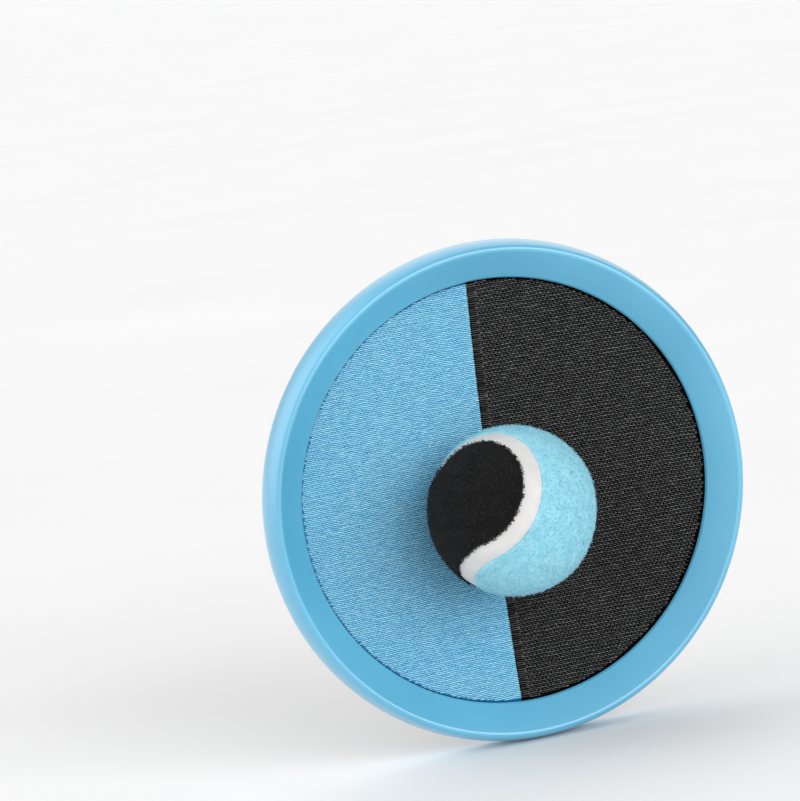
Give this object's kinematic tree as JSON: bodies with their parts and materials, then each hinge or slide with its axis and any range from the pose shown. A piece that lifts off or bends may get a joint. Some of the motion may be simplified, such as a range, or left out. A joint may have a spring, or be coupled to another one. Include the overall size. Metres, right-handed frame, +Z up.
{
  "type": "hook and loop catch paddle",
  "caption": "Round dished catch paddle with a glossy rim, two-tone loop fabric face, moulded hand outline and strap on the back, and a felt ball that sticks to the face.",
  "frame": {"origin": "middle of the back cover's domed rear face, where the palm rests", "axes": "+Y out of the back towards the hand and strap, -Y out of the catch face, +Z up along the fingers, +X to the right seen from the front"},
  "size_m": [0.19, 0.0995, 0.19],
  "materials": {
    "rim_blue": "gloss moulded",
    "cover_black": "grained moulded",
    "board_white": "sheet",
    "foam_white": "soft foam sheet",
    "fabric_blue": "knitted loop pile",
    "fabric_black": "knitted loop pile",
    "tape_black": "brushed loop tape",
    "tape_hook": "woven hook tape",
    "core_rubber": "moulded",
    "felt_black": "brushed felt",
    "felt_blue": "brushed felt",
    "seam_white": "smooth"
  },
  "bodies": {
    "paddle": {"front_rim": "rim_blue", "back_cover": "cover_black", "catch_board": "board_white", "foam_core": "foam_white", "blue_catch_panel": "fabric_blue", "black_catch_panel": "fabric_black", "strap_inner_run": "tape_black"},
    "loop_tape": {"loop_strap": "tape_black"},
    "hook_tape": {"hook_tab": "tape_hook"},
    "ball": {"ball_core": "core_rubber", "ball_felt_black": "felt_black", "ball_felt_blue": "felt_blue", "ball_seam": "seam_white"}
  },
  "joints": [
    {"name": "hook_tab_peel", "type": "hinge", "parent": "paddle", "child": "hook_tape", "pos_m": [-0.05505, -0.00118, 0.003], "axis": [0, 0, 1], "range_deg": [0, 110]},
    {"name": "loop_strap_lift", "type": "hinge", "parent": "paddle", "child": "loop_tape", "pos_m": [0.053, -0.00118, 0.003], "axis": [0, 0, -1], "range_deg": [0, 55.5]},
    {"name": "ball_pull_off", "type": "slide", "parent": "paddle", "child": "ball", "axis": [0, -1, 0], "range_m": [0, 0.08]}
  ],
  "couplings": [
    {"joint": "loop_strap_lift", "follows": "hook_tab_peel", "ratio": 0.5}
  ]
}
